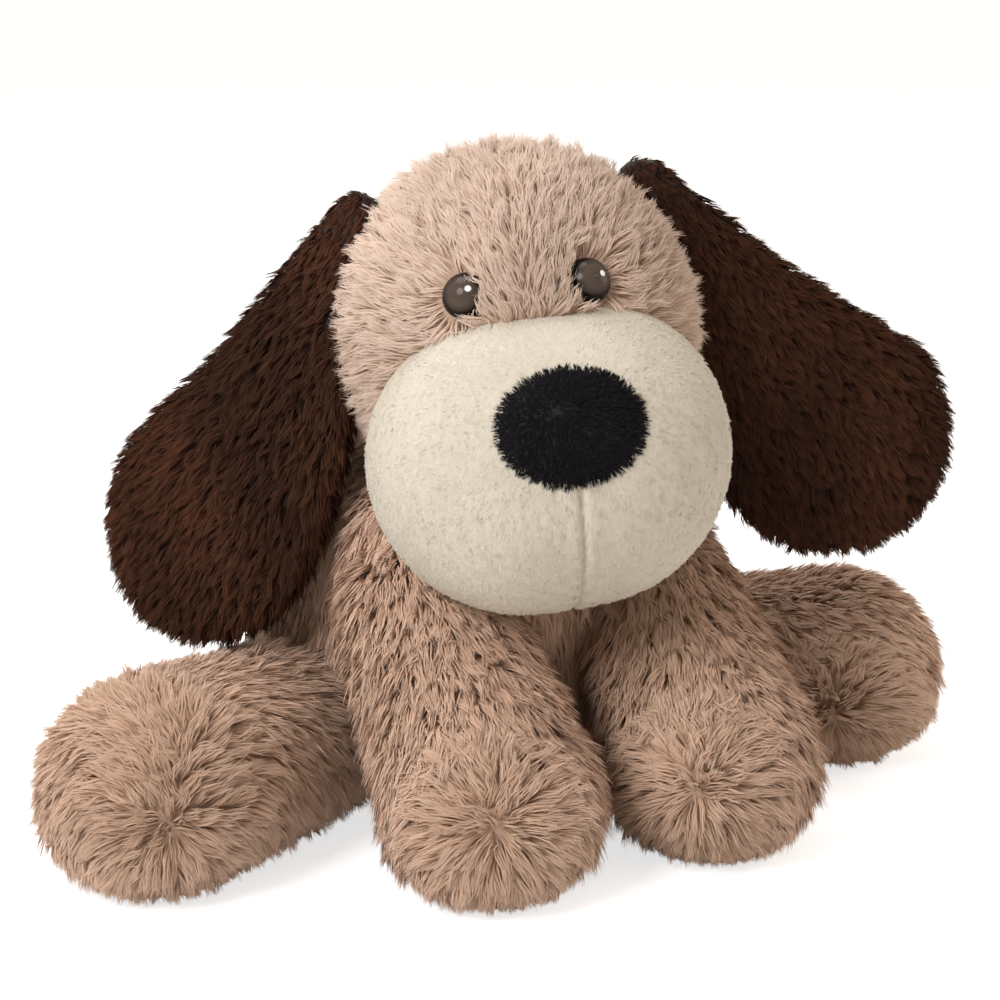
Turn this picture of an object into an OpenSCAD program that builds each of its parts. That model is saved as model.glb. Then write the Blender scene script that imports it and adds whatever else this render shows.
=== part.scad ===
// Plush dog, sitting, with a long-pile body, a short-pile muzzle and two floppy ears.
// Millimetres, +Z up. X is the dog's left, -Y is its front. Origin in the middle of the flat seat.
// Outer sizes are taken at the packed root of the pile; loose pile tips stand outside them.

/* [Torso] */
// radius of the stuffed torso
torso_r = 70; // [66:1:76]
// how far the seat is pressed flat
seat_press = 8; // [5:1:11]

/* [Head] */
// radius of the stuffed head
head_r = 58; // [54:1:60]
// height of the head's middle above the floor
head_z = 176; // [175:1:184]
// turn of the head to the dog's right at rest
head_turn = 20.5; // [10:0.5:28]
// lean of the head at rest
head_lean = 6; // [0:0.5:8]
// drop of the nose at rest
head_drop = 5; // [2:0.5:7]
// width of the centre gusset over the head
gusset_w = 22; // [16:1:26]

/* [Muzzle] */
// width of the muzzle
muzzle_w = 116; // [104:1:118]
// height of the muzzle
muzzle_h = 100; // [90:1:102]
// distance of the muzzle's middle in front of the head's middle
muzzle_front = 43; // [40:1:45]
// turn of the muzzle on the head, to the dog's left
muzzle_turn = 3.5; // [0:0.5:5]
// width of the nose patch
nose_w = 47; // [40:1:52]
// height of the nose patch
nose_h = 36; // [30:1:40]

/* [Eyes] */
// diameter of an eye
eye_d = 15; // [12:0.5:17]
// distance between the eye middles
eye_gap = 41; // [36:0.5:46]
// diameter of an eye's shank
shank_d = 4.5; // [3.5:0.1:5.5]

/* [Ears] */
// length from the ear's base to the middle of its round end
ear_l = 108; // [94:1:112]
// radius of the ear's round end
ear_r = 42; // [36:1:44]
// thickness of an ear
ear_t = 12; // [10:0.5:14]
// sideways splay of each ear
ear_splay = 32; // [29:0.5:36]
// turn of the left ear about its own length
ear_twist_left = 4; // [0:1:12]
// turn of the right ear about its own length
ear_twist_right = 40; // [34:1:46]

/* [Legs] */
// radius of a front paw
paw_r = 33; // [30:0.5:34]
// radius of a front leg at the shoulder
shoulder_r = 24; // [21:0.5:25]
// radius of a hind foot
foot_r = 35; // [31:0.5:36]
// radius of a hind leg at the hip
hip_r = 29; // [26:0.5:30]
// distance from hip to the middle of the foot
hind_l = 92; // [86:1:96]
// forward angle of the left hind leg at rest
hind_angle_left = 27; // [22:1:32]
// forward angle of the right hind leg at rest
hind_angle_right = 28; // [24:1:32]

/* [Cloth] */
// thickness of fur fabric with its packed pile root
cloth_t = 2.5; // [2:0.1:3]
// thickness of the muzzle's short-pile fabric
velboa_t = 2; // [1.5:0.1:2.5]
// gap between two panels at a seam, and between skin and stuffing
seam_gap = 0.2; // [0.15:0.05:0.3]
// running gap round a sewn joint
joint_gap = 0.5; // [0.4:0.1:0.8]

/* [Hidden] */
$fn = 64;
big = 400;
bite = 0.05;
head_spin = [0, 90, 0];
bun_spin = [0, 90, 0];
torso_z = torso_r - seat_press;
neck = [0, -38, 127];
neck_r = 31;
drop_lean = [head_drop, -head_lean, 0];
head_side = 3.9;
head_reach = 17.5;
head_c = [-head_side, neck[1] - head_reach, head_z];
muzzle_back = 12;
muzzle_tilt = 18;
muzzle_at = [0, -muzzle_front, -31];
chin_slope = 42;
chin_at = [0, -64, -78];
shoulder_at = [44, -64, 86];
paw_at = [42.5, -111.5, paw_r - 1.2];
seat_r = 30;
hip_at = [54, -8, hip_r + 3];
foot_z = foot_r - 1.6;
ear_base = [48, 43.5];
ear_top_r = 9;
ear_plane = 6;
hinge_r = 5;
hinge_l = 40;
hinge_angle = 27;
eye_h = 5.5;
washer_r = 8;
washer_t = 1.6;
shank_gap = 0.1;
pouch_r = 0.31 * torso_r;
pouch_h = 22;
pouch_t = 0.8;
pouch_back = 0.17 * torso_r;
pouch_low = 0.13 * torso_r;
fur = [0.71, 0.58, 0.50];
fur_dark = [0.63, 0.50, 0.43];
wool = [0.93, 0.93, 0.91];
brown = [0.24, 0.14, 0.10];
cream = [0.90, 0.84, 0.72];

// ---- shared helpers ----
module half(dir) translate([dir * big / 2, 0, 0]) cube(big, center = true);
module ball(c, r) translate(c) sphere(r = r);
module above_floor(h = 0) translate([0, 0, big / 2 + h]) cube(big, center = true);

// a round-ended tapered limb: axis down -Z from its joint at the origin
module limb(a, b, len) {
    tilt = asin((b - a) / len);
    rotate_extrude() intersection() {
        translate([0, -len - b - 1]) square([b + 1, len + a + b + 2]);
        union() {
            circle(r = a);
            translate([0, -len]) circle(r = b);
            polygon([[-1, 0], [(a - bite) * cos(tilt), (a - bite) * sin(tilt)],
                [(b - bite) * cos(tilt), -len + (b - bite) * sin(tilt)], [-1, -len]]);
        }
    }
}

// ---- torso ----
module torso_form(inset = 0) intersection() {
    ball([0, 0, torso_z], torso_r - inset);
    above_floor(inset);
}
// room for the neck and for the limbs of one side over their whole travel
module torso_pockets(sides, splays, extra = 0) {
    ball(neck, neck_r + joint_gap + extra);
    for (s = sides) {
        front_leg_room(s, joint_gap + extra);
        hind_leg_room(s, joint_gap + extra, splays);
    }
}
module torso_panel(s) color(fur) difference() {
    torso_form();
    torso_form(cloth_t);
    translate([0, 0, -1]) cylinder(r = seat_r + seam_gap, h = cloth_t + 2);
    torso_pockets([s], [-20, -7, 6, 18]);
    translate([-s * big / 2 + s * seam_gap / 2, 0, 0]) cube(big, center = true);
}
module torso_seat() color(fur_dark) cylinder(r = seat_r, h = cloth_t);
module torso_panel_left() torso_panel(1);
module torso_panel_right() torso_panel(-1);
module pouch(grow = 0) translate([0, pouch_back, pouch_low - grow])
    cylinder(r = pouch_r + grow, h = pouch_h + 2 * grow);
module torso_stuffing() color(wool) difference() {
    torso_form(cloth_t + seam_gap);
    torso_pockets([-1, 1], [-20, -1, 18], 1.5);
    pouch(seam_gap);
}
module pellet_pouch() color([0.85, 0.86, 0.88]) difference() {
    pouch();
    pouch(-pouch_t);
}
module pellet_fill() color([0.75, 0.77, 0.80]) pouch(-pouch_t - seam_gap);

// ---- neck ----
module neck_stuffing() color(wool) ball(neck, neck_r);

// ---- head ----
module in_head() translate(head_c) rotate([0, 0, -head_turn]) rotate([drop_lean[0], 0, 0])
    rotate([0, drop_lean[1], 0]) children();
module head_ball(inset) rotate(head_spin) sphere(r = head_r - inset);
module head_shell() difference() {
    head_ball(0);
    head_ball(cloth_t);
}
// a frame whose +Z leaves the head through an eye
module at_eye(s) {
    e = [eye_gap / 2, -49, 27];
    rotate([0, 0, s > 0 ? atan2(e[1], e[0]) : 180 - atan2(e[1], e[0])])
        rotate([0, 90 - atan2(e[2], norm([e[0], e[1]])), 0]) children();
}
module eye_hole(s, grow) at_eye(s)
    translate([0, 0, head_r - 14 - grow]) cylinder(d = shank_d + 2 * grow, h = 30);
module head_piece(x0, x1, sides) color(fur) difference() {
    in_head() difference() {
        head_shell();
        translate([x0 - big, -big / 2, -big / 2]) cube(big);
        translate([x1, -big / 2, -big / 2]) cube(big);
        for (s = sides) eye_hole(s, shank_gap + 0.2);
    }
    ball(neck, neck_r + joint_gap);
}
module head_panel_left() head_piece(gusset_w / 2 + seam_gap / 2, big / 2, [1]);
module head_panel_right() head_piece(-big / 2, -gusset_w / 2 - seam_gap / 2, [-1]);
module head_gusset() color(fur) difference() {
    in_head() intersection() {
        sphere(r = head_r);
        cube([gusset_w - seam_gap, big, big], center = true);
    }
    in_head() sphere(r = head_r - cloth_t);
    ball(neck, neck_r + joint_gap);
}
module head_stuffing() color(wool) difference() {
    in_head() difference() {
        rotate([0, 0, 90]) head_ball(cloth_t + seam_gap);
        for (s = [-1, 1]) eye_hole(s, shank_gap + 0.2);
        for (s = [-1, 1]) at_eye(s) translate([0, 0, head_r - cloth_t - washer_t - 1])
            cylinder(r = washer_r + seam_gap, h = washer_t + 4);
    }
    ball(neck, neck_r + joint_gap + 1);
}

// ---- muzzle: a wide bun, cut off behind and with its underside trimmed ----
module in_muzzle() translate(muzzle_at) rotate([muzzle_tilt, 0, 0]) children();
module in_snout() in_head() rotate([0, 0, muzzle_turn]) children();
module bun(inset) {
    r = muzzle_h / 2 - inset;
    reach = (muzzle_w - muzzle_h) / 2;
    difference() {
        in_muzzle() rotate([0, 90, 0]) union() {
            for (e = [-1, 1]) translate([0, 0, e * reach]) rotate(bun_spin) sphere(r = r);
            translate([0, 0, -reach]) cylinder(r = r - bite, h = 2 * reach);
        }
        in_muzzle() translate([-big / 2, muzzle_back - inset, -big / 2]) cube(big);
        translate(chin_at) rotate([chin_slope, 0, 0]) translate([0, 0, -big / 2 + inset])
            cube(big, center = true);
    }
}
module muzzle_panel(s) color(cream) in_snout() difference() {
    bun(0);
    bun(velboa_t);
    head_ball(-seam_gap);
    translate([-s * big / 2 + s * seam_gap / 2, 0, 0]) cube(big, center = true);
}
module muzzle_panel_left() muzzle_panel(1);
module muzzle_panel_right() muzzle_panel(-1);
module muzzle_stuffing() color(wool) in_snout() difference() {
    bun(velboa_t + seam_gap);
    head_ball(-seam_gap);
}
module nose_patch() color([0.09, 0.09, 0.10]) in_snout() intersection() {
    difference() {
        bun(-2.4);
        bun(-0.15);
    }
    translate([0, -50, -20]) rotate([90 - 17, 0, 0]) linear_extrude(height = 80)
        polygon([for (k = [0:47]) [nose_w / 2 * cos(k * 7.5), nose_h / 2 * sin(k * 7.5)]]);
}

// ---- eyes: a domed cap on a shank, held by a washer inside the skin ----
module eye(s) {
    r = (eye_d * eye_d / 4 + eye_h * eye_h) / (2 * eye_h);
    color([0.16, 0.13, 0.12]) in_head() at_eye(s) {
        translate([0, 0, head_r + 0.15]) union() {
            intersection() {
                translate([0, 0, eye_h - r]) sphere(r = r);
                cylinder(r = eye_d, h = eye_h + 1);
            }
            translate([0, 0, -12]) cylinder(d = shank_d, h = 12.5);
        }
    }
}
module eye_left() eye(1);
module eye_right() eye(-1);
module eye_washer(s) color([0.95, 0.95, 0.93]) in_head() at_eye(s)
    translate([0, 0, head_r - cloth_t - washer_t - 0.8]) difference() {
        cylinder(r = washer_r, h = washer_t);
        translate([0, 0, -1]) cylinder(d = shank_d + 2 * shank_gap, h = washer_t + 2);
    }
module eye_washer_left() eye_washer(1);
module eye_washer_right() eye_washer(-1);

// ---- ears: two cloth faces and wadding, folded onto the head along a straight seam ----
module side(s) mirror([s > 0 ? 0 : 1, 0, 0]) children();
module ear_outline(inset, h) {
    a = ear_top_r - inset;
    b = ear_r - inset;
    tilt = asin((b - a) / ear_l);
    p = a - bite;
    q = b - bite;
    cylinder(r = a, h = h);
    translate([0, -ear_l, 0]) cylinder(r = b, h = h);
    linear_extrude(height = h) polygon([[p * cos(tilt), p * sin(tilt)],
        [q * cos(tilt), -ear_l + q * sin(tilt)], [-q * cos(tilt), -ear_l + q * sin(tilt)],
        [-p * cos(tilt), p * sin(tilt)]]);
}
function ear_twist(s) = s > 0 ? ear_twist_left : ear_twist_right;
module ear_slab(s, y0, y1, inset = 0) side(s)
    translate([ear_base[0], ear_plane, ear_base[1]])
        rotate([0, -ear_splay, 0]) rotate([0, 0, ear_twist(s)])
            translate([0, y1, 0]) rotate([90, 0, 0]) ear_outline(inset, y1 - y0);
hinge_out = sqrt(pow(head_r + hinge_r + joint_gap, 2) - pow(ear_plane, 2));
module ear_hinge(s, grow = 0) side(s)
    translate([hinge_out * cos(hinge_angle), ear_plane, hinge_out * sin(hinge_angle)])
        rotate([0, -hinge_angle, 0]) cylinder(r = hinge_r + grow, h = hinge_l + 2 * grow, center = true);
module ear_clear() head_ball(-2.6);
module ear_front(s) color(brown) in_head() difference() {
    ear_slab(s, -ear_t / 2, -seam_gap / 2);
    ear_slab(s, -ear_t / 2 + cloth_t, 1, cloth_t);
    ear_clear();
    ear_hinge(s, seam_gap);
}
module ear_back(s) color(brown) in_head() union() {
    difference() {
        ear_slab(s, seam_gap / 2, ear_t / 2);
        ear_slab(s, -1, ear_t / 2 - cloth_t, cloth_t);
        ear_clear();
    }
    ear_hinge(s);
}
module ear_wadding(s) color(wool) in_head() difference() {
    ear_slab(s, -ear_t / 2 + cloth_t + seam_gap, ear_t / 2 - cloth_t - seam_gap, cloth_t + seam_gap);
    ear_clear();
    ear_hinge(s, seam_gap);
}
module ear_left_front() ear_front(1);
module ear_left_back() ear_back(1);
module ear_left_wadding() ear_wadding(1);
module ear_right_front() ear_front(-1);
module ear_right_back() ear_back(-1);
module ear_right_wadding() ear_wadding(-1);

// ---- front legs ----
leg_run = paw_at - shoulder_at;
leg_len = norm(leg_run);
leg_pitch = atan2(-leg_run[1], -leg_run[2]);
leg_yaw = atan2(leg_run[0], -leg_run[1]);
module front_leg_form(s, inset = 0) side(s)
    translate(shoulder_at) rotate([0, 0, leg_yaw]) rotate([-leg_pitch, 0, 0])
        limb(shoulder_r - inset, paw_r - inset, leg_len);
module front_leg_solid(s, inset = 0) intersection() {
    front_leg_form(s, inset);
    above_floor(inset);
}
module front_leg_panel(s, outer) color(fur) difference() {
    front_leg_solid(s);
    front_leg_solid(s, cloth_t);
    translate([s * (shoulder_at[0] + paw_at[0]) / 2, 0, 0])
        translate([-s * outer * (big / 2 - seam_gap / 2), 0, 0]) cube(big, center = true);
}
module front_leg_left_outer() front_leg_panel(1, 1);
module front_leg_left_inner() front_leg_panel(1, -1);
module front_leg_left_stuffing() color(wool) front_leg_solid(1, cloth_t + seam_gap);
module front_leg_right_outer() front_leg_panel(-1, 1);
module front_leg_right_inner() front_leg_panel(-1, -1);
module front_leg_right_stuffing() color(wool) front_leg_solid(-1, cloth_t + seam_gap);

module front_leg_room(s, gap) side(s) translate(shoulder_at) {
    sphere(r = shoulder_r + gap);
    for (a = [-4, 9, 22]) rotate([0, -a, 0]) rotate([0, 0, leg_yaw]) rotate([-leg_pitch, 0, 0])
        mirror([0, 0, 1]) cylinder(r1 = shoulder_r + gap - 0.1, r2 = paw_r + gap, h = leg_len);
}

// ---- hind legs ----
function hind_angle(s) = s > 0 ? hind_angle_left : hind_angle_right;
hind_rise = asin((foot_z - hip_at[2]) / hind_l);
module hind_frame(s, splay = 0) side(s) translate(hip_at) rotate([0, 0, -hind_angle(s) - splay])
    rotate([0, -hind_rise, 0]) children();
module hind_leg_form(s, inset = 0) hind_frame(s)
    rotate([0, -90, 0]) rotate([0, 0, 90]) limb(hip_r - inset, foot_r - inset, hind_l);
module hind_leg_solid(s, inset = 0) intersection() {
    hind_leg_form(s, inset);
    above_floor(inset);
}
module hind_shell(s) difference() {
    hind_leg_solid(s);
    hind_leg_solid(s, cloth_t);
}
module hind_leg_room(s, gap, splays) {
    hind_frame(s) sphere(r = hip_r + gap);
    for (a = splays) hind_frame(s, a) rotate([0, 90, 0])
        cylinder(r1 = hip_r + gap - 0.1, r2 = foot_r + gap, h = hind_l);
}
sole_cut = 14;
module past_sole(s, d) hind_frame(s) translate([hind_l + sole_cut + d, -big / 2, -big / 2]) cube(big);
module hind_leg_half(s, fore) color(fur) difference() {
    hind_shell(s);
    past_sole(s, -seam_gap / 2);
    hind_frame(s) translate([0, fore * (big / 2 - seam_gap / 2) - 0.7, 0]) cube(big, center = true);
}
module hind_sole(s) color(fur_dark) intersection() {
    hind_shell(s);
    past_sole(s, seam_gap / 2);
}
module hind_leg_left_front() hind_leg_half(1, 1);
module hind_leg_left_back() hind_leg_half(1, -1);
module hind_leg_left_sole() hind_sole(1);
module hind_leg_left_stuffing() color(wool) hind_leg_solid(1, cloth_t + seam_gap);
module hind_leg_right_front() hind_leg_half(-1, 1);
module hind_leg_right_back() hind_leg_half(-1, -1);
module hind_leg_right_sole() hind_sole(-1);
module hind_leg_right_stuffing() color(wool) hind_leg_solid(-1, cloth_t + seam_gap);

torso_panel_left();
torso_panel_right();
torso_seat();
torso_stuffing();
pellet_pouch();
pellet_fill();
neck_stuffing();
head_panel_left();
head_panel_right();
head_gusset();
head_stuffing();
muzzle_panel_left();
muzzle_panel_right();
muzzle_stuffing();
nose_patch();
eye_left();
eye_right();
eye_washer_left();
eye_washer_right();
ear_left_front();
ear_left_back();
ear_left_wadding();
ear_right_front();
ear_right_back();
ear_right_wadding();
front_leg_left_outer();
front_leg_left_inner();
front_leg_left_stuffing();
front_leg_right_outer();
front_leg_right_inner();
front_leg_right_stuffing();
hind_leg_left_front();
hind_leg_left_back();
hind_leg_left_sole();
hind_leg_left_stuffing();
hind_leg_right_front();
hind_leg_right_back();
hind_leg_right_sole();
hind_leg_right_stuffing();
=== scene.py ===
import math
import bpy
import numpy as np
from mathutils import Matrix, Vector, kdtree


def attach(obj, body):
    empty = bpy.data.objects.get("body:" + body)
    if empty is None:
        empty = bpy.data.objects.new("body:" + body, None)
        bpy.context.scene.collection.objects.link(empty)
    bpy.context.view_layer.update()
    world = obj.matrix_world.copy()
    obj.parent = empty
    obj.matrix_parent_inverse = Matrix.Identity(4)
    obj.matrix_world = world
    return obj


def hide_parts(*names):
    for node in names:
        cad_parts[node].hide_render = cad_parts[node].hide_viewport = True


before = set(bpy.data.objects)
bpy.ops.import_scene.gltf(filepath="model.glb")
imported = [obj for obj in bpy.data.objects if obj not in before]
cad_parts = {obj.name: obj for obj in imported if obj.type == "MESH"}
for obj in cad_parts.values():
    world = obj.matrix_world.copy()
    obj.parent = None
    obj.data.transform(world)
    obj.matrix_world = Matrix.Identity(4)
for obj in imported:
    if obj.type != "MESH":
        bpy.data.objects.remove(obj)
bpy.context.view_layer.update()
MM = 0.001

# ---------------------------------------------------------------- places, in metres
NECK = Vector((0, -38, 127)) * MM
HEAD_R, HEAD_C = 58 * MM, Vector((-3.9, -55.5, 176)) * MM
SHOULDER, PAW = Vector((44, -64, 86)) * MM, Vector((42.5, -111.5, 31.8)) * MM
SHOULDER_R, PAW_R = 24 * MM, 33 * MM
HIP, HIP_R, FOOT_R, HIND_L = Vector((54, -8, 32)) * MM, 29 * MM, 35 * MM, 92 * MM
HIND_ANGLE = {1: 27, -1: 28}
TORSO_C, TORSO_R = Vector((0, 0, 62)) * MM, 70 * MM
EAR_TOP_R, EAR_R, EAR_L = 9 * MM, 41 * MM, 108 * MM
EYE_R = 7.5 * MM
SKIN_SINK = 0.8 * MM  # each skin lies this far inside its solid
SIDES = {1: "left", -1: "right"}


def turn(axis, degrees):
    return Matrix.Rotation(math.radians(degrees), 4, axis)


def shift(x, y, z):
    return Matrix.Translation(Vector((x, y, z)) * MM)


HEAD = Matrix.Translation(HEAD_C) @ turn("Z", -20.5) @ turn("X", 5) @ turn("Y", -6)
SNOUT = HEAD @ turn("Z", 3.5)
MUZZLE = SNOUT @ shift(0, -43, -31) @ turn("X", 18)
EAR_TWIST = {1: 4, -1: 40}


def mirrored(s):
    return Matrix.Diagonal((s, 1, 1, 1))


def ear_frame(s):
    return HEAD @ mirrored(s) @ shift(48, 6, 43.5) @ turn("Y", -32) @ turn("Z", EAR_TWIST[s])


def on_side(v, s):
    return Vector((v.x * s, v.y, v.z))


def foot_centre(s):
    a = math.radians(HIND_ANGLE[s])
    return on_side(HIP + Vector((math.cos(a), -math.sin(a), 0.015)) * HIND_L, s)


# ---------------------------------------------------------------- camera, light and floor
VIEW_AZ, VIEW_EL, VIEW_FAR = math.radians(-28), math.radians(14), 0.90
LOOK_AT = Vector((0, -38, 112)) * MM
TO_CAMERA = Vector((math.sin(VIEW_AZ) * math.cos(VIEW_EL), -math.cos(VIEW_AZ) * math.cos(VIEW_EL),
                    math.sin(VIEW_EL)))
VIEW_RIGHT = Vector((math.cos(VIEW_AZ), math.sin(VIEW_AZ), 0))
VIEW_UP = TO_CAMERA.cross(VIEW_RIGHT)


def aim(obj, at):
    obj.rotation_euler = (at - obj.location).to_track_quat("-Z", "Y").to_euler()


def add_camera():
    bpy.ops.object.camera_add(location=LOOK_AT + TO_CAMERA * VIEW_FAR)
    camera = bpy.context.object
    camera.name = "camera"
    aim(camera, LOOK_AT)
    camera.data.lens = 92.6
    camera.data.sensor_width = 36
    camera.data.dof.use_dof = False
    bpy.context.scene.camera = camera


def add_area(name, place, size, power, colour):
    bpy.ops.object.light_add(type="AREA", location=place)
    light = bpy.context.object
    light.name = name
    light.data.shape = "DISK"
    light.data.size = size
    light.data.energy = power
    light.data.color = colour
    aim(light, Vector((0, -0.03, 0.11)))


def add_stage():
    world = bpy.data.worlds.new("studio")
    bpy.context.scene.world = world
    world.use_nodes = True
    backdrop = world.node_tree.nodes["Background"]
    ray = world.node_tree.nodes.new("ShaderNodeLightPath")
    tint = world.node_tree.nodes.new("ShaderNodeMix")
    tint.data_type = "RGBA"
    tint.inputs[6].default_value = (0.36, 0.315, 0.27, 1)
    tint.inputs[7].default_value = (1, 1, 1, 1)
    world.node_tree.links.new(ray.outputs["Is Camera Ray"], tint.inputs[0])
    world.node_tree.links.new(tint.outputs[2], backdrop.inputs["Color"])
    backdrop.inputs["Strength"].default_value = 1.0
    add_area("key", (-1.2, -0.62, 1.05), 0.8, 18.5, (1.0, 0.995, 0.985))
    add_area("fill", (1.25, -0.55, 0.5), 1.0, 5.0, (1.0, 0.90, 0.78))
    add_area("top", (-0.2, 0.35, 1.4), 0.9, 7.0, (1.0, 1.0, 1.0))
    bpy.ops.mesh.primitive_plane_add(size=12, location=(0, 0, 0))
    floor = bpy.context.object
    floor.name = "floor"
    white = plain("floor_white", (0.90, 0.90, 0.90), 0.9)
    shader = white.node_tree.nodes["Principled BSDF"]
    seen = white.node_tree.nodes.new("ShaderNodeLightPath")
    white.node_tree.links.new(seen.outputs["Is Camera Ray"], shader.inputs["Emission Color"])
    shader.inputs["Emission Strength"].default_value = 0.72
    floor.data.materials.append(white)


# ---------------------------------------------------------------- shader helper
class Nodes:
    """A material's node tree, with one call per node."""

    def __init__(self, name):
        self.material = bpy.data.materials.new(name)
        self.material.use_nodes = True
        self.tree = self.material.node_tree
        self.shader = self.tree.nodes["Principled BSDF"]

    def add(self, kind, settings=None, **values):
        node = self.tree.nodes.new(kind)
        for key, value in (settings or {}).items():
            setattr(node, key, value)
        for key, value in values.items():
            self.set(node, key.replace("_", " "), value)
        return node

    def set(self, node, key, value):
        socket = node.inputs[int(key)] if key.isdigit() else node.inputs[key]
        if isinstance(value, bpy.types.NodeSocket):
            self.tree.links.new(value, socket)
        else:
            socket.default_value = value

    def end(self, **values):
        for key, value in values.items():
            self.set(self.shader, key.replace("_", " "), value)
        return self.material

    def maths(self, operation, a, b=0.0):
        node = self.add("ShaderNodeMath", {"operation": operation})
        self.set(node, "0", a)
        self.set(node, "1", b)
        return node.outputs[0]

    def ramp(self, value, stops):
        node = self.add("ShaderNodeValToRGB")
        self.set(node, "Fac", value)
        points = node.color_ramp.elements
        while len(points) < len(stops):
            points.new(0.5)
        for point, (place, colour) in zip(points, stops):
            point.position = place
            point.color = (*colour, 1)
        return node.outputs["Color"]

    def mix(self, a, b, amount, blend="MIX"):
        node = self.add("ShaderNodeMix", {"data_type": "RGBA", "blend_type": blend})
        self.set(node, "0", amount)
        for socket, value in ((node.inputs[6], a), (node.inputs[7], b)):
            if isinstance(value, bpy.types.NodeSocket):
                self.tree.links.new(value, socket)
            else:
                socket.default_value = (*value, 1)
        return node.outputs[2]

    def place(self):
        return self.add("ShaderNodeTexCoord").outputs["Object"]

    def noise(self, where, scale, detail=3.0, rough=0.5, stretch=None):
        if stretch:
            node = self.add("ShaderNodeMapping", Scale=stretch)
            self.set(node, "Vector", where)
            where = node.outputs["Vector"]
        node = self.add("ShaderNodeTexNoise", Scale=scale, Detail=detail, Roughness=rough)
        self.set(node, "Vector", where)
        return node.outputs["Fac"]

    def bump(self, height, strength, distance):
        node = self.add("ShaderNodeBump", Strength=strength, Distance=distance)
        self.set(node, "Height", height)
        return node.outputs["Normal"]


def plain(name, colour, rough):
    n = Nodes(name)
    speck = n.noise(n.place(), 900, 2)
    tint = n.mix(tuple(c * 0.97 for c in colour), colour, speck)
    return n.end(Base_Color=tint, Roughness=rough)


def fur_material(name, root, middle, tip, shade, light, sheen):
    """Colour runs along each lock, from a darker root to a lighter tip, and each lock has its own tone. The
    darker root is painted shade down in the gaps between the locks.
    """
    n = Nodes(name)
    uv = n.add("ShaderNodeUVMap", {"uv_map": "OFBake"}).outputs["UV"]
    split = n.add("ShaderNodeSeparateXYZ")
    n.set(split, "Vector", uv)
    # painted shade: each lock darkens towards its root, where the gaps between locks fall dark
    along = n.ramp(split.outputs["Y"], [(0.0, root), (0.45, middle), (1.0, tip)])
    tone = n.ramp(split.outputs["X"], [(0.0, shade), (0.5, (1, 1, 1)), (1.0, light)])
    return n.end(Base_Color=n.mix(along, tone, 1.0, "MULTIPLY"), Roughness=0.72, Sheen_Weight=sheen,
                 Sheen_Roughness=0.45, Specular_IOR_Level=0.12)


def cloth_material(name, dark, light, grain, depth, rough=0.85):
    n = Nodes(name)
    where = n.place()
    broad = n.noise(where, 45, 4)
    fine = n.noise(where, grain, 4, 0.65)
    colour = n.mix(dark, light, n.maths("MULTIPLY", n.maths("ADD", broad, fine), 0.5))
    return n.end(Base_Color=colour, Roughness=rough, Normal=n.bump(fine, 0.6, depth), Sheen_Weight=0.2)


# ---------------------------------------------------------------- soft forms, from balls and tapers
def only(obj):
    bpy.ops.object.select_all(action="DESELECT")
    obj.select_set(True)
    bpy.context.view_layer.objects.active = obj


def settle(obj):
    only(obj)
    bpy.ops.object.transform_apply(location=True, rotation=True, scale=True)


def ball(centre, radius, stretch=(1, 1, 1), basis=None):
    bpy.ops.mesh.primitive_uv_sphere_add(segments=48, ring_count=24, radius=radius)
    obj = bpy.context.object
    obj.scale = stretch
    settle(obj)
    obj.matrix_world = Matrix.Translation(centre) @ (basis or Matrix.Identity(4))
    settle(obj)
    return obj


def taper(a, radius_a, b, radius_b):
    """A round-ended limb from a to b."""
    run = b - a
    lean = math.asin((radius_b - radius_a) / run.length)
    bpy.ops.mesh.primitive_cone_add(vertices=48, radius1=radius_a * math.cos(lean),
                                    radius2=radius_b * math.cos(lean), depth=run.length)
    cone = bpy.context.object
    middle = (a + b) / 2 - run.normalized() * math.sin(lean) * (radius_a + radius_b) / 2
    cone.matrix_world = Matrix.Translation(middle) @ run.to_track_quat("Z", "Y").to_matrix().to_4x4()
    settle(cone)
    return [cone, ball(a, radius_a), ball(b, radius_b)]


def face_outwards(obj):
    only(obj)
    bpy.ops.object.mode_set(mode="EDIT")
    bpy.ops.mesh.select_all(action="SELECT")
    bpy.ops.mesh.normals_make_consistent(inside=False)
    bpy.ops.object.mode_set(mode="OBJECT")


def thicken(obj, offset):
    """A flat face drawn out by offset into a closed form."""
    only(obj)
    bpy.ops.object.mode_set(mode="EDIT")
    bpy.ops.mesh.select_all(action="SELECT")
    bpy.ops.mesh.extrude_region_move()
    bpy.ops.transform.translate(value=offset)
    bpy.ops.mesh.select_all(action="SELECT")
    bpy.ops.mesh.normals_make_consistent(inside=False)
    bpy.ops.object.mode_set(mode="OBJECT")


def modify(obj, kind, **settings):
    only(obj)
    modifier = obj.modifiers.new(kind.lower(), kind)
    for key, value in settings.items():
        setattr(modifier, key, value)
    bpy.ops.object.modifier_apply(modifier=modifier.name)


def merged(name, objs, voxel=3 * MM, smooth=8):
    bpy.ops.object.select_all(action="DESELECT")
    for obj in objs:
        obj.select_set(True)
    bpy.context.view_layer.objects.active = objs[0]
    if len(objs) > 1:
        bpy.ops.object.join()
    whole = bpy.context.view_layer.objects.active
    whole.name = name
    whole.data.name = name
    modify(whole, "REMESH", mode="VOXEL", voxel_size=voxel)
    modify(whole, "SMOOTH", factor=0.5, iterations=smooth)
    bpy.ops.object.shade_smooth()
    return whole


def points_of(obj):
    co = np.empty(len(obj.data.vertices) * 3, np.float32)
    obj.data.vertices.foreach_get("co", co)
    return co.reshape(-1, 3).astype(float)


def set_points(obj, co):
    obj.data.vertices.foreach_set("co", co.astype(np.float32).ravel())
    obj.data.update()


def press_on_floor(obj, height=0.4 * MM):
    co = points_of(obj)
    co[:, 2] = np.maximum(co[:, 2], height)
    set_points(obj, co)


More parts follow.
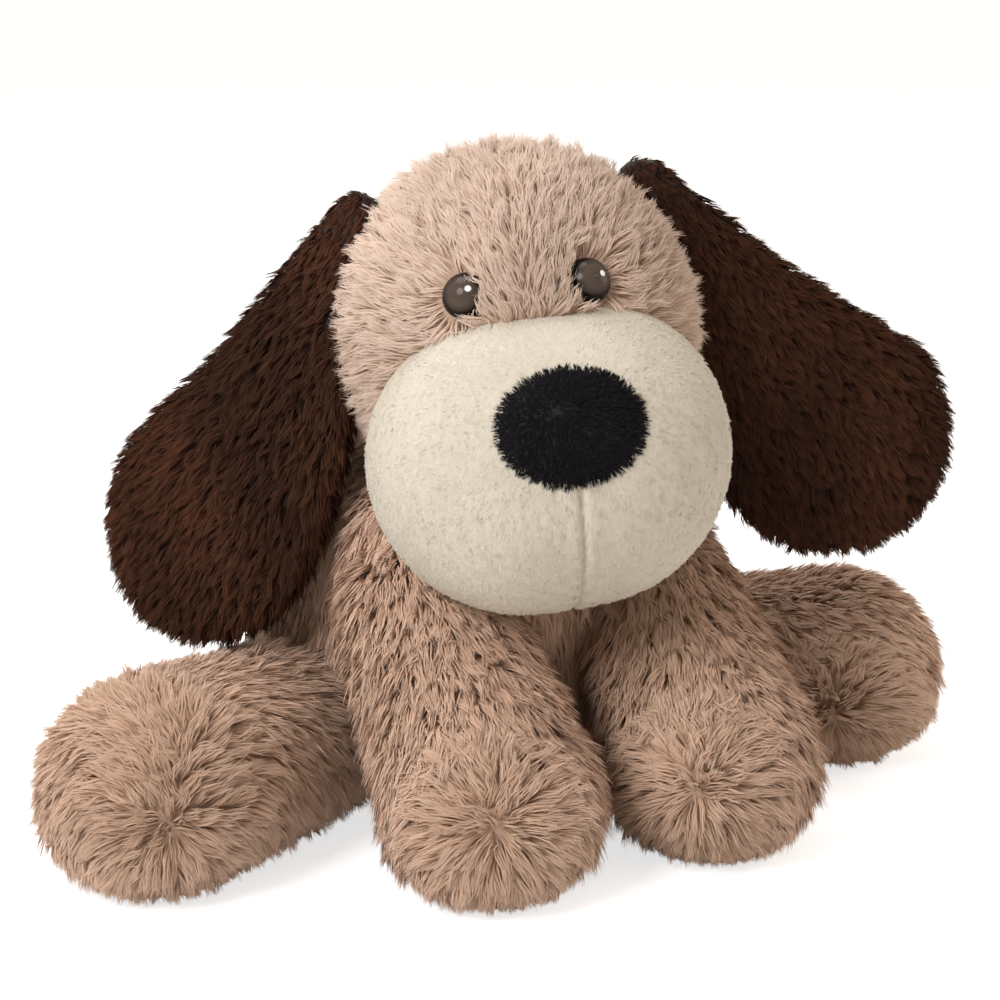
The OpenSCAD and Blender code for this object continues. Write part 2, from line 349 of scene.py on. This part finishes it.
# ---------------------------------------------------------------- inside tests, used to leave roots out
def inside_ball(p, centre, radius):
    return np.linalg.norm(p - np.array(centre), axis=1) < radius


def inside_taper(p, a, ra, b, rb):
    a, b = np.array(a), np.array(b)
    t = np.clip((p - a) @ (b - a) / ((b - a) @ (b - a)), 0, 1)
    return np.linalg.norm(p - (a + t[:, None] * (b - a)), axis=1) < ra + (rb - ra) * t


def unit(v):
    return v / np.maximum(np.linalg.norm(v, axis=-1, keepdims=True), 1e-9)


def to_local(matrix, p):
    m = np.array(matrix.inverted())
    return p @ m[:3, :3].T + m[:3, 3]


# ---------------------------------------------------------------- pile
ROWS = np.array([0.0, 0.55, 1.0])
WIDTHS = np.array([1.0, 0.8])


def roots_on(obj, per_mm2, rng):
    mesh = obj.data
    mesh.calc_loop_triangles()
    tri = np.empty(len(mesh.loop_triangles) * 3, np.int32)
    mesh.loop_triangles.foreach_get("vertices", tri)
    tri = tri.reshape(-1, 3)
    co = points_of(obj)
    normals = np.empty(len(mesh.vertices) * 3, np.float32)
    mesh.vertices.foreach_get("normal", normals)
    normals = normals.reshape(-1, 3).astype(float)
    a, b, c = co[tri[:, 0]], co[tri[:, 1]], co[tri[:, 2]]
    area = np.linalg.norm(np.cross(b - a, c - a), axis=1) / 2
    count = int(area.sum() * 1e6 * per_mm2)
    pick = rng.choice(len(tri), count, p=area / area.sum())
    u, v = rng.random(count), rng.random(count)
    over = u + v > 1
    u[over], v[over] = 1 - u[over], 1 - v[over]
    w = 1 - u - v
    t = tri[pick]
    p = co[t[:, 0]] * w[:, None] + co[t[:, 1]] * u[:, None] + co[t[:, 2]] * v[:, None]
    n = normals[t[:, 0]] * w[:, None] + normals[t[:, 1]] * u[:, None] + normals[t[:, 2]] * v[:, None]
    return p, unit(n)


def patches(p, size, seed):
    """A smooth random value from -1 to 1 for each point, for tone and length that drift over the cloth."""
    rng = np.random.default_rng(seed)
    total = np.zeros(len(p))
    for _ in range(6):
        k = unit(rng.normal(size=3)) * rng.uniform(0.6, 1.5) * 2 * math.pi / size
        total += np.sin(p @ k + rng.uniform(0, 6.28))
    return np.clip(total / 2.6, -1, 1)


def pile(name, base, material, comb, per_mm2, length, width, seed, leave=None, lean=50, clump=11,
         pull=0.55, droop=0.10, most=64000, wave=0.10, soft=0.72, tone_drift=0.22):
    """Locks of pile on base. comb gives each its way over the cloth, a length factor and extra lean."""
    rng = np.random.default_rng(seed)
    p, n = roots_on(base, per_mm2, rng)
    if leave is not None:
        keep = ~leave(p)
        p, n = p[keep], n[keep]
    if len(p) > most:
        p, n = p[:most], n[:most]
    count = len(p)
    way, scale, tilt = comb(p, n)
    way = unit(way - n * np.sum(way * n, axis=1, keepdims=True))
    across = np.cross(n, way)
    # neighbours share a guide, so locks gather into tufts
    guides = rng.choice(count, max(1, count // clump), replace=False)
    tree = kdtree.KDTree(len(guides))
    for k, g in enumerate(guides):
        tree.insert(Vector(p[g]), k)
    tree.balance()
    mine = guides[np.array([tree.find(Vector(q))[1] for q in p])]
    tuft_turn = rng.normal(0, 0.25, count)[mine]
    tuft_tilt = rng.normal(0, 7, count)[mine]
    tuft_long = rng.normal(0, 0.10, count)[mine]
    way = unit(way * np.cos(tuft_turn)[:, None] + across * np.sin(tuft_turn)[:, None])
    own = rng.normal(0, 0.14, (count, 3))
    own -= n * np.sum(own * n, axis=1, keepdims=True)
    way = unit(way + own)
    angle = np.radians(np.clip(lean + tilt + tuft_tilt + rng.normal(0, 6, count), 4, 84))
    long = length * scale * (1 + tuft_long) * (1 + rng.normal(0, 0.10, count))
    long *= 0.45 + 0.55 * np.clip(p[:, 2] / (24 * MM), 0, 1)
    down = np.array((0, 0, -1.0))
    phase = rng.uniform(0, 6.28, count)
    across = np.cross(n, way)
    rows = []
    for t in ROWS:
        up = t * np.cos(angle) * (1 - 0.18 * t)
        out = t ** 1.35 * np.sin(angle)
        side = wave * np.sin(phase + 5.2 * t) * t
        rows.append(p - n * (0.6 * MM) + long[:, None] * (n * up[:, None] + way * out[:, None]
                    + across * side[:, None] + down * (droop * t * t)))
    for k, t in enumerate(ROWS):
        rows[k] = rows[k] + (rows[k][mine] - rows[k]) * (pull * t ** 1.6)
    for row in rows:
        low = row[:, 2] < 1.0 * MM
        row[low, 2] = 1.0 * MM + 0.6 * MM * rng.random(low.sum())
    run = unit(rows[2] - rows[0])
    flat = unit(np.cross(run, n))
    roll = np.clip(rng.normal(0, 0.6, count), -1.2, 1.2)
    flat = flat * np.cos(roll)[:, None] + np.cross(run, flat) * np.sin(roll)[:, None]
    half = (width / 2 * (1 + rng.normal(0, 0.18, count)))[:, None]
    verts = np.empty((count, 5, 3))
    for k in range(2):
        verts[:, 2 * k] = rows[k] - flat * half * WIDTHS[k]
        verts[:, 2 * k + 1] = rows[k] + flat * half * WIDTHS[k]
    verts[:, 4] = rows[2]
    mesh = bpy.data.meshes.new(name)
    mesh.vertices.add(count * 5)
    mesh.vertices.foreach_set("co", verts.astype(np.float32).ravel())
    corner = np.array((0, 1, 3, 2, 2, 3, 4))
    loops = (np.arange(count)[:, None] * 5 + corner).astype(np.int32)
    mesh.loops.add(loops.size)
    mesh.loops.foreach_set("vertex_index", loops.ravel())
    starts = (np.arange(count)[:, None] * 7 + np.array((0, 4))).astype(np.int32)
    mesh.polygons.add(starts.size)
    mesh.polygons.foreach_set("loop_start", starts.ravel())
    mesh.update(calc_edges=True)
    mesh.polygons.foreach_set("use_smooth", np.ones(starts.size, bool))
    tone = 0.5 + tone_drift * patches(p, 55 * MM, seed) + rng.normal(0, 0.09, count)
    tone = np.clip(tone + rng.normal(0, 0.10, count)[mine], 0.02, 0.98)
    rise = ROWS * 0.96 + 0.02
    uv = np.empty((count, 7, 2), np.float32)
    uv[:, :, 0] = tone[:, None]
    uv[:, :, 1] = rise[np.array((0, 0, 1, 1, 1, 1, 2))]
    mesh.uv_layers.new(name="OFBake").data.foreach_set("uv", uv.ravel())
    facing = unit(np.cross(flat, run))
    facing *= np.sign(np.sum(facing * n, axis=1, keepdims=True) + 1e-9)
    shade = unit(n * soft + facing * (1 - soft) + rng.normal(0, 0.05, (count, 3)))
    mesh.normals_split_custom_set_from_vertices(np.repeat(shade, 5, axis=0).astype(np.float32))
    obj = bpy.data.objects.new(name, mesh)
    bpy.context.scene.collection.objects.link(obj)
    mesh.materials.append(material)
    return obj


def flow(way, whorls=(), far=30 * MM, near=14 * MM):
    """Pile laid along way(p), but round each whorl it runs outwards from the whorl's middle."""
    def comb(p, n):
        c = unit(way(p, n))
        tilt = np.zeros(len(p))
        scale = np.ones(len(p))
        for w in whorls:
            away = p - np.array(w)
            d = np.linalg.norm(away, axis=1)
            k = np.clip((far - d) / (far - near), 0, 1)
            k = k * k * (3 - 2 * k)
            c = c * (1 - k)[:, None] + unit(away) * k[:, None]
            tilt -= 16 * np.exp(-(d / (9 * MM)) ** 2)
            scale -= 0.12 * np.exp(-(d / (8 * MM)) ** 2)
        return c, scale, tilt
    return comb


def steady(v):
    v = np.array(v, float)
    return lambda p, n: np.repeat(v[None], len(p), axis=0)


# ---------------------------------------------------------------- colours
# one tan pile in two copies: the body and legs get a darker, more saturated copy as painted shade, and the
# head a lighter, pinker copy as painted light
TAN_SHADED = fur_material("tan_pile_painted_shade", (0.45, 0.29, 0.205), (0.60, 0.40, 0.285), (0.77, 0.56, 0.435),
                   (0.78, 0.72, 0.67), (1.16, 1.14, 1.14), 0.10)
TAN_FACE_LIT = fur_material("tan_face_pile_painted_light", (0.45, 0.30, 0.22), (0.62, 0.45, 0.345), (0.78, 0.635, 0.54),
                        (0.80, 0.75, 0.71), (1.14, 1.13, 1.13), 0.10)
BROWN = fur_material("brown_pile", (0.011, 0.0035, 0.0015), (0.034, 0.012, 0.006), (0.070, 0.028, 0.014),
                     (0.46, 0.40, 0.36), (2.0, 1.85, 1.8), 0.0)
BLACK = fur_material("black_pile", (0.002, 0.002, 0.003), (0.005, 0.0045, 0.006), (0.011, 0.010, 0.013),
                     (0.7, 0.7, 0.7), (1.8, 1.8, 1.8), 0.0)
CREAM = fur_material("cream_pile", (0.60, 0.54, 0.44), (0.71, 0.665, 0.57), (0.78, 0.745, 0.66),
                     (0.86, 0.83, 0.79), (1.08, 1.08, 1.08), 0.08)
TAN_CLOTH = cloth_material("tan_backing", (0.44, 0.29, 0.205), (0.54, 0.375, 0.28), 1400, 0.4 * MM)
BROWN_CLOTH = cloth_material("brown_backing", (0.012, 0.006, 0.004), (0.028, 0.013, 0.009), 1400, 0.4 * MM)
BLACK_CLOTH = cloth_material("black_backing", (0.004, 0.004, 0.005), (0.010, 0.010, 0.012), 1800, 0.3 * MM)
WOOL = cloth_material("filling_fibre", (0.80, 0.80, 0.79), (0.95, 0.95, 0.94), 500, 1.0 * MM)
POUCH = cloth_material("pouch_weave", (0.74, 0.74, 0.74), (0.88, 0.88, 0.88), 2600, 0.2 * MM)
PELLETS = cloth_material("pellet_heap", (0.70, 0.70, 0.68), (0.88, 0.88, 0.86), 330, 1.5 * MM, 0.5)
WASHER = plain("washer_plastic", (0.90, 0.90, 0.88), 0.45)


def ride(obj, body, material, *nodes):
    obj.data.materials.clear()
    obj.data.materials.append(material)
    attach(obj, body)
    if nodes:
        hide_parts(*nodes)


# ---------------------------------------------------------------- torso
def muzzle_holds(p, grow=0.0):
    q = to_local(MUZZLE, p)
    x = np.clip(q[:, 0], -8 * MM, 8 * MM)
    d = np.linalg.norm(q - np.stack([x, 0 * x, 0 * x], 1), axis=1)
    return (d < 50 * MM + grow) & (q[:, 1] < 14 * MM)


def limb_holds(p, grow):
    held = np.zeros(len(p), bool)
    for s in SIDES:
        held |= inside_taper(p, on_side(SHOULDER, s), SHOULDER_R + grow, on_side(PAW, s), PAW_R + grow)
        held |= inside_taper(p, on_side(HIP, s), HIP_R + grow, foot_centre(s), FOOT_R + grow)
    return held


def make_torso():
    chest = [ball(Vector((s * 30, -50, 100)) * MM, 31 * MM) for s in SIDES]
    chest += [ball(Vector((s * 25, -20, 97)) * MM, 40 * MM) for s in SIDES]
    chest.append(ball(Vector((0, -36, 92)) * MM, 42 * MM))
    skin = merged("torso_skin", [ball(TORSO_C, TORSO_R - SKIN_SINK)] + chest)
    press_on_floor(skin)
    ride(skin, "torso", TAN_CLOTH, "torso_panel_left", "torso_panel_right", "torso_seat")

    def way(p, n):
        out = p - np.array(TORSO_C)
        return np.array((0, 0, -1.0)) + unit(out) * 0.2 + np.array((0, -0.25, 0))

    def covered(p):
        hidden = limb_holds(p, -5 * MM) | inside_ball(p, HEAD_C, HEAD_R - 6 * MM) | muzzle_holds(p, -6 * MM)
        return hidden | inside_ball(p, NECK, 20 * MM) | (p[:, 2] < 1.5 * MM)

    for k, (name, want) in enumerate((("torso_pile_front", lambda p: p[:, 1] > -2 * MM),
                                      ("torso_pile_back", lambda p: p[:, 1] <= -2 * MM))):
        tuft = pile(name, skin, TAN_SHADED, flow(way), 1.9, 12 * MM, 0.60 * MM, 11 + k,
                    lambda p, want=want: covered(p) | want(p), lean=52)
        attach(tuft, "torso")


def make_neck():
    skin = merged("neck_skin", [ball(NECK, 31.5 * MM)])
    ride(skin, "neck", TAN_CLOTH)
    tuft = pile("neck_pile", skin, TAN_SHADED, flow(steady((0, 0, -1))), 1.5, 11 * MM, 0.65 * MM, 21,
                lambda p: inside_ball(p, HEAD_C, HEAD_R - 4 * MM)
                | inside_ball(p, TORSO_C, TORSO_R - 4 * MM) | muzzle_holds(p, -3 * MM), lean=50)
    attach(tuft, "neck")


# ---------------------------------------------------------------- legs
def make_front_leg(s):
    side, a, b = SIDES[s], on_side(SHOULDER, s), on_side(PAW, s)
    skin = merged(f"front_leg_{side}_skin", taper(a, SHOULDER_R - SKIN_SINK, b, PAW_R - SKIN_SINK))
    press_on_floor(skin)
    ride(skin, f"front_leg_{side}", TAN_CLOTH, f"front_leg_{side}_outer", f"front_leg_{side}_inner")
    az, el = math.radians(-25 if s < 0 else -42), math.radians(4 if s < 0 else 0)
    toe = Vector((math.sin(az) * math.cos(el), -math.cos(az) * math.cos(el), math.sin(el)))
    down = (b - a).normalized()
    tuft = pile(f"front_leg_{side}_pile", skin, TAN_SHADED, flow(steady(down + Vector((0, 0, -0.4))),
                [b + toe * PAW_R], 40 * MM, 14 * MM), 2.3, 12.5 * MM, 0.60 * MM, 31 + s,
                lambda p: inside_ball(p, TORSO_C, TORSO_R - 3 * MM) | (p[:, 2] < 1.5 * MM)
                | muzzle_holds(p, -2 * MM), lean=50)
    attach(tuft, f"front_leg_{side}")


def make_hind_leg(s):
    side, a, b = SIDES[s], on_side(HIP, s), foot_centre(s)
    skin = merged(f"hind_leg_{side}_skin", taper(a, HIP_R - SKIN_SINK, b, FOOT_R - SKIN_SINK))
    press_on_floor(skin)
    ride(skin, f"hind_leg_{side}", TAN_CLOTH, f"hind_leg_{side}_front", f"hind_leg_{side}_back",
         f"hind_leg_{side}_sole")
    spots = ([(0.40, 0.38), (0.28, -0.30)] if s < 0 else [(-0.1, -0.5)])
    whorls = []
    for right, up in spots:
        d = VIEW_RIGHT * right + VIEW_UP * up + TO_CAMERA * math.sqrt(1 - right ** 2 - up ** 2)
        whorls.append(b + d * FOOT_R)
    along = (b - a).normalized() * (0.8 if s > 0 else -0.6) + Vector((0, 0, -0.7)) + TO_CAMERA * 0.25
    tuft = pile(f"hind_leg_{side}_pile", skin, TAN_SHADED, flow(steady(along), whorls,
                40 * MM, 12 * MM), 2.0, 12.5 * MM, 0.60 * MM, 41 + s,
                lambda p: inside_ball(p, TORSO_C, TORSO_R - 3 * MM) | (p[:, 2] < 1.5 * MM), lean=50)
    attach(tuft, f"hind_leg_{side}")


# ---------------------------------------------------------------- head, muzzle, nose and eyes
def eye_axis(s):
    return Vector((20.5 * s, -49, 27)).normalized()


def make_head():
    skin = merged("head_skin", [ball(HEAD_C, HEAD_R - SKIN_SINK)])
    ride(skin, "head", TAN_CLOTH, "head_panel_left", "head_panel_right", "head_gusset")
    face = np.array(HEAD @ (Vector((0, -56, -14)) * MM))
    eyes = [np.array(HEAD @ (eye_axis(s) * HEAD_R)) for s in SIDES]
    turned = np.array(HEAD.to_3x3())

    def comb(p, n):
        away = unit(p - face)
        c = away + np.array((0, 0, -0.30))
        q = to_local(HEAD, p)
        high = np.clip((q[:, 2] - 10 * MM) / (30 * MM), 0, 1)
        brow = high * np.clip((-q[:, 1] - 5 * MM) / (30 * MM), 0, 1)
        c = c + (turned @ np.array((0, 0.2, 0.6)))[None] * brow[:, None]
        c += (turned @ np.array((1.0, 0, 0)))[None] * (np.sign(q[:, 0]) * brow * 0.35)[:, None]
        scale, tilt = 1 + 0.25 * np.clip((q[:, 2] - 25 * MM) / (25 * MM), 0, 1), np.zeros(len(p))
        for s, e in zip(SIDES, eyes):
            d = np.linalg.norm(p - e, axis=1)
            inner = np.clip(((p - e) @ turned[:, 0]) * -s / (7 * MM), 0, 1)
            k = np.clip((17 * MM - d) / (9 * MM), 0, 1) * (1 - 0.9 * inner)
            c = c * (1 - k)[:, None] + unit(p - e) * k[:, None]
            tilt += 6 * k
            scale -= 0.2 * k
        return c, scale, tilt

    def covered(p):
        hidden = muzzle_holds(p, -1.5 * MM) | inside_ball(p, NECK, 28 * MM)
        hidden |= inside_ball(p, TORSO_C, TORSO_R - 4 * MM)
        for s, e in zip(SIDES, eyes):
            inner = np.clip(((p - e) @ turned[:, 0]) * -s / (7 * MM), 0, 1)
            hidden |= np.linalg.norm(p - e, axis=1) < 7.2 * MM - inner * 1.8 * MM
        return hidden

    tuft = pile("head_pile", skin, TAN_FACE_LIT, comb, 2.3, 11.5 * MM, 0.56 * MM, 51, covered, lean=48)
    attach(tuft, "head")


def muzzle_material():
    n = Nodes("cream_short_pile")
    where = n.place()
    strokes = n.noise(where, 420, 3, 0.55, (1.0, 1.0, 0.4))
    grain = n.noise(where, 1500, 4, 0.7)
    broad = n.noise(where, 38, 3)
    colour = n.mix((0.58, 0.52, 0.42), (0.72, 0.67, 0.58), n.ramp(
        n.maths("ADD", n.maths("MULTIPLY", broad, 0.45), n.maths("MULTIPLY", strokes, 0.5)),
        [(0.25, (0, 0, 0)), (0.65, (1, 1, 1))]))
    height = n.maths("ADD", n.maths("MULTIPLY", grain, 0.5), n.maths("MULTIPLY", strokes, 0.9))
    return n.end(Base_Color=colour, Roughness=0.9, Normal=n.bump(height, 0.7, 0.7 * MM),
                 Sheen_Weight=0.12, Sheen_Roughness=0.4, Specular_IOR_Level=0.15)


def inflate(obj, frames, pressure, most, pinned=None):
    """Cloth blown up from inside, with each point's travel held to most."""
    start = points_of(obj)
    group = None
    if pinned is not None:
        group = obj.vertex_groups.new(name="held")
        group.add([int(k) for k in np.nonzero(pinned)[0]], 1.0, "REPLACE")
    only(obj)
    cloth = obj.modifiers.new("cloth", "CLOTH")
    cloth.settings.use_pressure = True
    cloth.settings.uniform_pressure_force = pressure
    cloth.settings.effector_weights.gravity = 0
    cloth.settings.quality = 4
    if group:
        cloth.settings.vertex_group_mass = "held"
    for k in range(1, frames + 1):
        bpy.context.scene.frame_set(k)
    bpy.ops.object.modifier_apply(modifier="cloth")
    bpy.context.scene.frame_set(1)
    obj.vertex_groups.clear()
    moved = points_of(obj) - start
    far = np.linalg.norm(moved, axis=1, keepdims=True)
    set_points(obj, start + moved * np.minimum(1, most / np.maximum(far, 1e-9)))


def make_muzzle():
    parts = [ball(MUZZLE @ (Vector((x, 0, -0.5)) * MM), 51.2 * MM) for x in (-9, -3, 3, 9)]
    skin = merged("muzzle_skin", parts, 4 * MM, 6)
    q = to_local(MUZZLE, points_of(skin))
    back = q[:, 1] > 16 * MM
    q[back, 1] = 16 * MM + (q[back, 1] - 16 * MM) * 0.15
    m = np.array(MUZZLE)
    set_points(skin, q @ m[:3, :3].T + m[:3, 3])
    q = to_local(SNOUT, points_of(skin))
    seam = (np.abs(q[:, 0]) < 2.6 * MM) & (q[:, 1] < -40 * MM) & (q[:, 2] < -24 * MM)
    inflate(skin, 16, 3.0, 2.0 * MM, seam | (to_local(MUZZLE, points_of(skin))[:, 1] > 10 * MM))
    modify(skin, "SUBSURF", levels=2, render_levels=2)
    # the dart seam is a fine groove on the middle line, from under the nose to the chin
    co = points_of(skin)
    q = to_local(SNOUT, co)
    normals = np.empty(co.size, np.float32)
    skin.data.vertices.foreach_get("normal", normals)
    normals = normals.reshape(-1, 3)
    below = np.clip((-20 * MM - q[:, 2]) / (6 * MM), 0, 1) * (q[:, 1] < -20 * MM)
    groove = np.exp(-(q[:, 0] / (0.8 * MM)) ** 2) * below
    swell = np.exp(-((np.abs(q[:, 0]) - 3.0 * MM) / (2.4 * MM)) ** 2) * below
    set_points(skin, co + normals * (swell * 0.3 * MM - groove * 1.5 * MM)[:, None])
    only(skin)
    bpy.ops.object.shade_smooth()
    ride(skin, "head", muzzle_material(), "muzzle_panel_left", "muzzle_panel_right")
    nose = np.array(SNOUT @ (Vector((0, -92, -7)) * MM))

    def comb(p, n):
        # the short nap is brushed away from the nose
        return unit(p - nose) + np.array((0, 0, -0.3)), np.ones(len(p)), np.zeros(len(p))

    def leave(p):
        q = to_local(SNOUT, p)
        seam = (np.abs(q[:, 0]) < 0.7 * MM) & (q[:, 2] < -22 * MM) & (q[:, 1] < -20 * MM)
        return seam | inside_ball(p, HEAD_C, HEAD_R + 1 * MM) | (to_local(MUZZLE, p)[:, 1] > 12 * MM)

    nap = pile("muzzle_pile", skin, CREAM, comb, 2.6, 2.2 * MM, 0.36 * MM, 81, leave, lean=64, clump=6,
               pull=0.35, droop=0.0, wave=0.05, soft=0.8, tone_drift=0.35)
    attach(nap, "head")
    return skin


def make_nose(muzzle):
    """The nose is an oval of black pile laid on the muzzle, a little proud of it."""
    frame_of = SNOUT @ shift(0, -50, -20) @ turn("X", -17)
    bpy.ops.mesh.primitive_grid_add(x_subdivisions=60, y_subdivisions=60, size=2)
    pad = bpy.context.object
    pad.name = "nose_skin"
    co = points_of(pad)
    # square grid to disc, then to an oval
    x = co[:, 0] * np.sqrt(1 - co[:, 1] ** 2 / 2)
    y = co[:, 1] * np.sqrt(1 - co[:, 0] ** 2 / 2)
    reach = np.hypot(x, y)
    flat = np.stack([x * 23.6 * MM, np.full(len(x), -80 * MM), y * 18.2 * MM], 1)
    m = np.array(frame_of)
    world = flat @ m[:3, :3].T + m[:3, 3]
    ahead = Vector(m[:3, :3] @ np.array((0, 1.0, 0)))
    # brings the muzzle up to date for the ray casts
    bpy.context.evaluated_depsgraph_get()
    hit = []
    for w, r in zip(world, reach):
        ok, place, normal, _ = muzzle.ray_cast(Vector(w), ahead)
        lift = (1.9 * (1 - min(r, 1) ** 6) - 0.4) * MM
        hit.append(place + normal * lift if ok else Vector(w))
    set_points(pad, np.array([tuple(h) for h in hit]))
    thicken(pad, tuple(ahead * 1.2 * MM))
    bpy.ops.object.shade_smooth()
    ride(pad, "head", BLACK_CLOTH, "nose_patch")
    centre = np.array(frame_of @ (Vector((0, -50, 2)) * MM))

    def comb(p, n):
        edge = np.linalg.norm(p - centre, axis=1)[:, None] / (20 * MM)
        brushed = np.array(VIEW_RIGHT - VIEW_UP) * 0.6
        return brushed * (1 - edge) + unit(p - centre) * edge, np.ones(len(p)), np.zeros(len(p))

    tuft = pile("nose_pile", pad, BLACK, comb, 9.0, 2.9 * MM, 0.34 * MM, 61,
                lambda p: inside_ball(p, HEAD_C, HEAD_R), lean=42, clump=7,
                pull=0.35, droop=0.04, wave=0.06)
    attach(tuft, "head")


def eye_material(s):
    """Dark iris, black rim and a painted white catch of light, set out round the eye's own axis."""
    axis = HEAD.to_3x3() @ eye_axis(s)
    centre = HEAD @ (eye_axis(s) * (HEAD_R + 3 * MM))
    n = Nodes(f"eye_{SIDES[s]}_gloss")
    where = n.place()

    def spread(middle):
        off = n.add("ShaderNodeVectorMath", {"operation": "SUBTRACT"})
        n.set(off, "0", where)
        n.set(off, "1", tuple(middle))
        dot = n.add("ShaderNodeVectorMath", {"operation": "DOT_PRODUCT"})
        n.set(dot, "0", off.outputs[0])
        n.set(dot, "1", tuple(axis))
        size = n.add("ShaderNodeVectorMath", {"operation": "DOT_PRODUCT"})
        n.set(size, "0", off.outputs[0])
        n.set(size, "1", off.outputs[0])
        square = n.maths("SUBTRACT", size.outputs["Value"],
                         n.maths("MULTIPLY", dot.outputs["Value"], dot.outputs["Value"]))
        return n.maths("SQRT", n.maths("MAXIMUM", square, 0.0))

    out = n.maths("MULTIPLY", spread(centre), 1 / EYE_R)
    iris = n.ramp(out, [(0.0, (0.080, 0.057, 0.045)), (0.5, (0.090, 0.066, 0.053)),
                        (0.72, (0.045, 0.032, 0.026)), (0.80, (0.003, 0.003, 0.003)),
                        (1.0, (0.002, 0.002, 0.002))])
    spot = centre + (VIEW_RIGHT * 2.6 + VIEW_UP * 1.2) * MM
    lit = n.ramp(n.maths("MULTIPLY", spread(spot), 1 / (1.5 * MM)), [(0.55, (1, 1, 1)), (0.75, (0, 0, 0))])
    colour = n.mix(iris, (0.95, 0.95, 0.95), lit)
    return n.end(Base_Color=colour, Roughness=0.18, Specular_IOR_Level=0.15, Coat_Weight=0.05,
                 Coat_Roughness=0.05)


def make_eyes():
    for s, side in SIDES.items():
        node = bpy.data.objects[f"eye_{side}"]
        node.data.materials.clear()
        node.data.materials.append(eye_material(s))


# ---------------------------------------------------------------- ears
def make_ear(s):
    side, ear = SIDES[s], ear_frame(s)
    bpy.ops.mesh.primitive_circle_add(vertices=64, radius=1, fill_type="NGON")
    form = bpy.context.object
    thicken(form, (0, 0, 1))
    co = points_of(form)
    angle = np.arctan2(co[:, 1], co[:, 0])
    lean = math.asin((EAR_R - EAR_TOP_R) / EAR_L)
    # the outline of a small circle and a large one with their common tangents
    u = np.linspace(0, 2 * np.pi, 2000)
    ring = []
    for a in u:
        near = math.sin(a) > math.sin(lean)
        c, r = ((0, 0), EAR_TOP_R) if near else ((0, -EAR_L), EAR_R)
        ring.append((c[0] + r * math.cos(a), c[1] + r * math.sin(a)))
    ring = np.array(ring)
    step = np.r_[0, np.cumsum(np.linalg.norm(np.diff(ring, axis=0), axis=1))]
    at = (angle % (2 * np.pi)) / (2 * np.pi) * step[-1]
    flat = np.stack([np.interp(at, step, ring[:, 0]), np.interp(at, step, ring[:, 1])], 1)
    local = np.stack([flat[:, 0], (0.5 - co[:, 2]) * 7 * MM, flat[:, 1]], 1)
    m = np.array(ear)
    set_points(form, local @ m[:3, :3].T + m[:3, 3])
    face_outwards(form)
    skin = merged(f"ear_{side}_skin", [form], 2.6 * MM, 3)
    inflate(skin, 12, 2.0, 3.0 * MM)
    q = to_local(ear, points_of(skin))
    # a soft cup along the ear, a slight bow sideways and a little more length
    run = np.clip(-q[:, 2] / EAR_L, 0, 1)
    q[:, 1] += -0.0016 * np.cos(q[:, 0] / (24 * MM)) * run
    q[:, 0] -= 4.5 * MM * np.sin(np.pi * run)
    q[:, 2] *= 1 + 0.045 * run
    set_points(skin, q @ m[:3, :3].T + m[:3, 3])
    modify(skin, "SMOOTH", factor=0.5, iterations=6)
    only(skin)
    bpy.ops.object.shade_smooth()
    ride(skin, f"ear_{side}", BROWN_CLOTH, f"ear_{side}_front", f"ear_{side}_back", f"ear_{side}_wadding")
    run_way = np.array(ear.to_3x3()) @ np.array((0, 0, -1.0))
    middle = np.array(ear @ Vector((0, 0, -100 * MM)))

    def way(p, n):
        q = to_local(ear, p)
        out = (p - middle) * np.clip(-q[:, 2] / (70 * MM), 0, 1)[:, None] / (60 * MM)
        return run_way * 1.0 + out * 0.6

    def comb(p, n):
        c, scale, tilt = flow(way)(p, n)
        top = np.clip((to_local(ear, p)[:, 2] + 30 * MM) / (30 * MM), 0, 1)
        return c, scale * (1 - 0.45 * top), tilt + 14 * top

    tuft = pile(f"ear_{side}_pile", skin, BROWN, comb, 2.5, 8.5 * MM, 0.52 * MM, 71 + s,
                lambda p: inside_ball(p, HEAD_C, HEAD_R - 1 * MM), lean=50, tone_drift=0.22)
    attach(tuft, f"ear_{side}")


def dress_hidden_nodes():
    """Filling, pouch, pellets and washers keep their solids and get their own materials."""
    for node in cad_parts:
        obj = bpy.data.objects.get(node)
        if obj is None:
            continue
        if "stuffing" in node or "wadding" in node:
            finish = WOOL
        elif node == "pellet_pouch":
            finish = POUCH
        elif node == "pellet_fill":
            finish = PELLETS
        elif node.startswith("eye_washer"):
            finish = WASHER
        else:
            continue
        obj.data.materials.clear()
        obj.data.materials.append(finish)


bpy.context.scene.view_settings.view_transform = "Standard"
add_camera()
add_stage()
make_torso()
make_neck()
for s in SIDES:
    make_front_leg(s)
    make_hind_leg(s)
    make_ear(s)
make_head()
make_nose(make_muzzle())
make_eyes()
dress_hidden_nodes()
